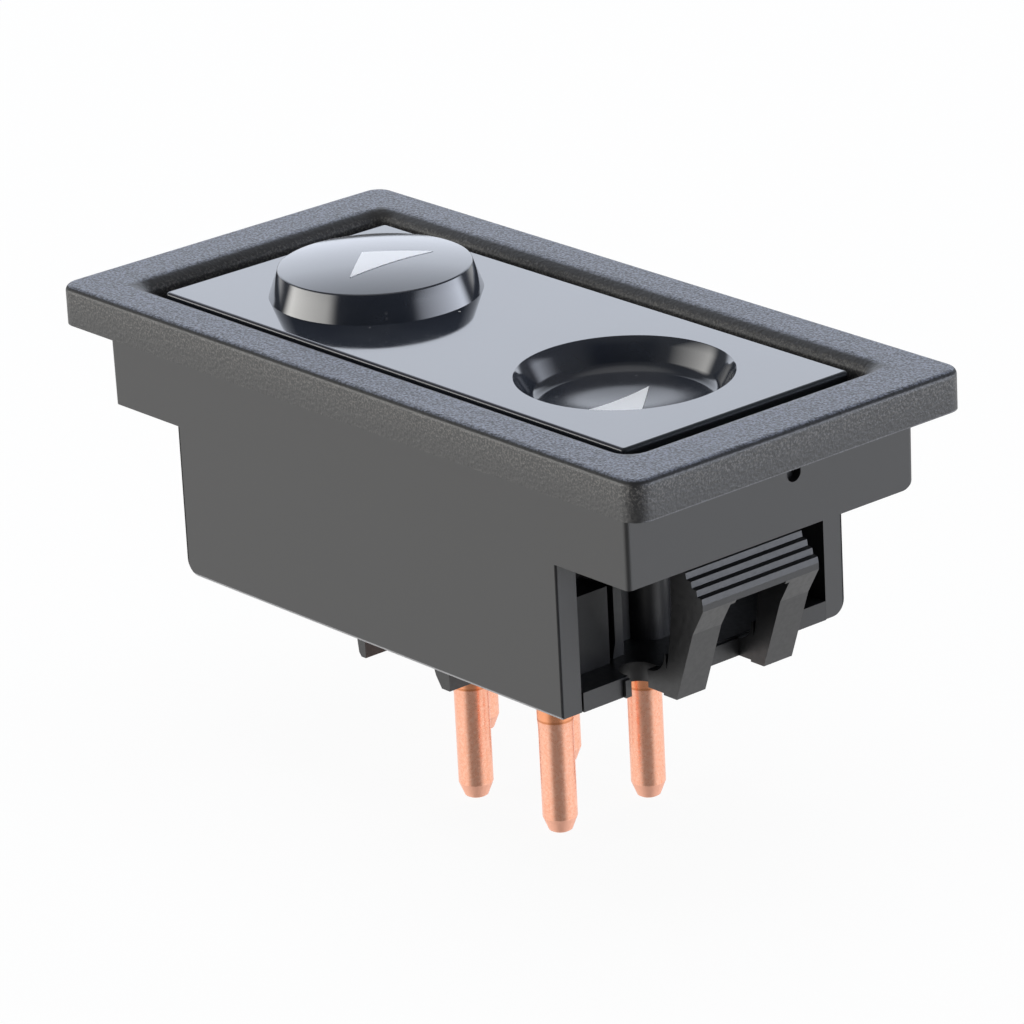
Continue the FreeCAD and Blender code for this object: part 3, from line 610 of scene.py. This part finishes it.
def dish_rings():
    """Eased edge, sloping wall and dished floor of the finger dish."""
    floor = PLATE_TOP - DISH_DEPTH - INLAY_STEP
    lip = (DISH_RIM, PLATE_TOP - LIP_EASE_DOWN)
    rings = [(DISH_RIM + LIP_EASE_IN, PLATE_TOP), lip] + slope_rings(lip, (DISH_FLOOR, floor), WALL_STEPS)
    return rings + crown_rings(DISH_FLOOR, -DISH_SAG, floor)


def turn_rings(mesh, rings, centre_x):
    """Adds a turned surface, its faces looking up and out."""
    loops = []
    for radius, z in rings[:-1]:
        ring = []
        for i in range(TURN_STEPS):
            a = 2 * math.pi * i / TURN_STEPS
            ring.append(mesh.verts.new((centre_x + radius * math.cos(a), radius * math.sin(a), z)))
        loops.append(ring)
    for low, high in zip(loops, loops[1:]):
        for i in range(TURN_STEPS):
            j = (i + 1) % TURN_STEPS
            mesh.faces.new((low[i], low[j], high[j], high[i]))
    middle = mesh.verts.new((centre_x, 0.0, rings[-1][1]))
    for i in range(TURN_STEPS):
        mesh.faces.new((loops[-1][i], loops[-1][(i + 1) % TURN_STEPS], middle))


def is_button_face(place):
    """Whether a face of the rocker solid belongs to the dome or the dish as seen from above."""
    dome = math.hypot(place.x + BUTTON_OFFSET, place.y)
    dish = math.hypot(place.x - BUTTON_OFFSET, place.y)
    on_skirt = SKIRT_INSIDE < dome < DOME_FOOT + ROUND_SLACK and place.z > PLATE_TOP + ABOVE_PLATE
    on_crown = dome < DOME_FOOT and place.z > CROWN_LOWEST
    on_floor = dish < DISH_FLOOR + ROUND_SLACK and place.z > DISH_FLOOR_LOWEST
    by_wall = DISH_FLOOR - ROUND_SLACK < dish < DISH_RIM + RIM_SLACK
    on_wall = by_wall and DISH_WALL_LOWEST < place.z < PLATE_TOP - BELOW_PLATE
    return on_skirt or on_crown or on_floor or on_wall


def flatten_normals(piece):
    """Lets the large faces rule the normals, so that flat plates stay flat beside rounded edges."""
    even = piece.modifiers.new("even normals", "WEIGHTED_NORMAL")
    even.mode = "FACE_AREA"
    even.keep_sharp = True
    plain = piece.data
    shown = piece.evaluated_get(bpy.context.evaluated_depsgraph_get())
    piece.data = bpy.data.meshes.new_from_object(shown)
    piece.modifiers.clear()
    bpy.data.meshes.remove(plain)
    piece.data.name = piece.name


def merged_copy(cad):
    """Open copy of a solid's mesh, with its loose triangles joined."""
    work = bmesh.new()
    work.from_mesh(cad.data)
    bmesh.ops.remove_doubles(work, verts=work.verts, dist=MERGE_WITHIN)
    return work


def smooth_piece(work, name, finish):
    """Turns an open mesh into a smooth new piece with one finish."""
    for face in work.faces:
        face.smooth = True
        face.material_index = 0
    mesh = bpy.data.meshes.new(name)
    work.to_mesh(mesh)
    work.free()
    if "custom_normal" in mesh.attributes:
        mesh.attributes.remove(mesh.attributes["custom_normal"])
    mesh.materials.append(finish)
    piece = bpy.data.objects.new(name, mesh)
    bpy.context.scene.collection.objects.link(piece)
    return piece


def polish_rocker(frame, finish):
    """The rocker with its dome and dish turned finely enough for clear reflections."""
    work = merged_copy(frame["nodes"]["rocker"])
    old = [f for f in work.faces if is_button_face(f.calc_center_median())]
    bmesh.ops.delete(work, geom=old, context="FACES")
    turn_rings(work, dome_rings(), -BUTTON_OFFSET)
    turn_rings(work, dish_rings(), BUTTON_OFFSET)
    for edge in work.edges:
        edge.smooth = len(edge.link_faces) == 2 and edge.calc_face_angle() < SHARP_EDGE
    piece = smooth_piece(work, "rocker_polished", finish)
    flatten_normals(piece)
    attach(piece, "rocker")
    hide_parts("rocker")


def coil_springs(frame, finish):
    """Smooth copies of the two springs, shown in place of the solids' own, which are hidden."""
    for place in ("near", "far"):
        node = "plunger_spring_" + place
        piece = smooth_piece(merged_copy(frame["nodes"][node]), "coil_" + place, finish)
        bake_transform(piece)
        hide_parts(node)


def split_rays(n, seen, others, camera, surface):
    """One shader for the camera, by the share called seen, and another for all other rays."""
    mix = n.add("ShaderNodeMixShader")
    n.join(seen, mix.inputs[0])
    n.join(others.outputs[0], mix.inputs[1])
    n.join(camera.outputs[0], mix.inputs[2])
    n.join(mix.outputs[0], surface)


def make_floor():
    """Plain pale floor that the camera sees as white, with the shadow kept faint."""
    mesh = bpy.data.meshes.new("floor")
    level = PIN_TIP - FLOOR_DROP
    corners = [(x * FLOOR_HALF, y * FLOOR_HALF, level) for x, y in ((-1, -1), (1, -1), (1, 1), (-1, 1))]
    mesh.from_pydata(corners, [], [(0, 1, 2, 3)])
    floor = bpy.data.objects.new("floor", mesh)
    bpy.context.scene.collection.objects.link(floor)
    material = bpy.data.materials.new("floor white")
    material.use_nodes = True
    n = Nodes(material.node_tree)
    material.node_tree.nodes.remove(material.node_tree.nodes["Principled BSDF"])
    matt = n.add("ShaderNodeBsdfDiffuse")
    matt.inputs["Color"].default_value = FLOOR_GREY
    glow = n.add("ShaderNodeEmission")
    path = n.add("ShaderNodeLightPath")
    seen = n.math("MULTIPLY", path.outputs["Is Camera Ray"], FLOOR_WHITE_SHARE)
    split_rays(n, seen, matt, glow, material.node_tree.nodes["Material Output"].inputs["Surface"])
    mesh.materials.append(material)
    floor.visible_glossy = False


def soft_box(name, turn, low, high, spread, level, colour, edge, fade):
    """Upright soft box that fills a span of bearings and heights as seen from the object.

    Bearings are counted from the camera's, in degrees. Its sides fade over the share called edge,
    and its top over the share called fade.
    """
    middle = math.radians((low + high) / 2)
    way = heading(CAMERA_AZIMUTH + math.radians(turn)) * math.cos(middle)
    way.z = math.sin(middle)
    width = 2 * BOX_DISTANCE * math.tan(math.radians(spread / 2))
    height = 2 * BOX_DISTANCE * math.tan(math.radians((high - low) / 2))
    light = bpy.data.lights.new(name, "AREA")
    light.shape = "RECTANGLE"
    light.size = width
    light.size_y = height
    light.color = colour
    light.energy = level * math.pi * width * height
    light.use_nodes = True
    n = Nodes(light.node_tree)
    across, up = n.parts(n.add("ShaderNodeTexCoord").outputs["UV"])[:2]
    sides = n.band(across, 0.0, edge, 1.0 - edge, 1.0)
    top = n.ramp(up, 1.0 - fade, 1.0, 1.0, 0.0, smooth=False)
    n.join(n.math("MULTIPLY", sides, top), light.node_tree.nodes["Emission"].inputs["Strength"])
    lamp = bpy.data.objects.new(name, light)
    lamp.location = way * BOX_DISTANCE
    lamp.rotation_mode = "QUATERNION"
    lamp.rotation_quaternion = (-way).to_track_quat("-Z", "Y")
    lamp.visible_camera = False
    bpy.context.scene.collection.objects.link(lamp)
    return lamp


def make_lights():
    """Three boxes round the switch for its reflections, and one above for plain light on matt tops."""
    soft_box("left box", turn=-82.0, low=-2.0, high=36.0, spread=74.0,
             level=5.5, colour=(1.0, 0.985, 0.95), edge=0.24, fade=0.75)
    soft_box("right box", turn=78.0, low=-2.0, high=25.0, spread=84.0,
             level=5.9, colour=(0.9, 0.96, 1.1), edge=0.25, fade=0.7)
    soft_box("back box", turn=180.0, low=4.0, high=52.0, spread=96.0,
             level=2.02, colour=(0.92, 0.98, 1.1), edge=0.12, fade=0.62)
    overhead = soft_box("top box", turn=0.0, low=65.0, high=115.0, spread=50.0,
                        level=2.3, colour=(0.97, 0.99, 1.04), edge=0.2, fade=0.2)
    overhead.visible_glossy = False


def make_world():
    """White for the camera; for other rays a plain room, dark only where the viewer stands."""
    world = bpy.data.worlds.new("studio")
    world.use_nodes = True
    bpy.context.scene.world = world
    tree = world.node_tree
    n = Nodes(tree)
    room = tree.nodes["Background"]
    room.inputs["Color"].default_value = WHITE
    white = n.add("ShaderNodeBackground")
    white.inputs["Color"].default_value = WHITE

    # How far a direction turns from the camera's bearing, as a cosine on the level
    x, y, up = n.parts(n.add("ShaderNodeTexCoord").outputs["Generated"])
    ahead = heading(CAMERA_AZIMUTH)
    forward = n.math("ADD", n.math("MULTIPLY", x, ahead.x), n.math("MULTIPLY", y, ahead.y))
    level = n.math("SQRT", n.math("SUBTRACT", ROOT_GUARD, n.math("MULTIPLY", up, up)))
    bearing = n.math("DIVIDE", forward, level)

    gap = n.ramp(bearing, math.cos(GAP_SIDES[0]), math.cos(GAP_SIDES[1]))
    gap = n.math("MULTIPLY", gap, n.ramp(up, *GAP_TOP))
    gap = n.math("MULTIPLY", gap, n.ramp(up, *HORIZON, *GAP_LEVELS))
    strength = n.math("MULTIPLY", n.ramp(up, *HORIZON, *ROOM_LEVELS), n.math("SUBTRACT", 1.0, gap))
    strength = n.math("ADD", strength, n.ramp(up, CEILING_FROM, 1.0, 0.0, CEILING_LEVEL))
    n.join(strength, room.inputs["Strength"])
    seen = n.add("ShaderNodeLightPath").outputs["Is Camera Ray"]
    split_rays(n, seen, room, white, tree.nodes["World Output"].inputs["Surface"])


with open("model.json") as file:
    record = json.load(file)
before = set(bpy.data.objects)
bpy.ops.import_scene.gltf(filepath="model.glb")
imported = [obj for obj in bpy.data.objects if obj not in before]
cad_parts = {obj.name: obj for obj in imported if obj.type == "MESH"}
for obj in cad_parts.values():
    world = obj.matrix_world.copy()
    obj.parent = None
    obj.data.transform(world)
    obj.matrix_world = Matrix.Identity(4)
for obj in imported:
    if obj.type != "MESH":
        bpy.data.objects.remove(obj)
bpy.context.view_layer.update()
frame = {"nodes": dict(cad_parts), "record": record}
make_camera()
bpy.context.scene.view_settings.view_transform = "Standard"
finishes = finish_nodes(frame)
polish_rocker(frame, finishes["rocker_black"])
coil_springs(frame, finishes["spring_steel"])
make_floor()
make_lights()
make_world()
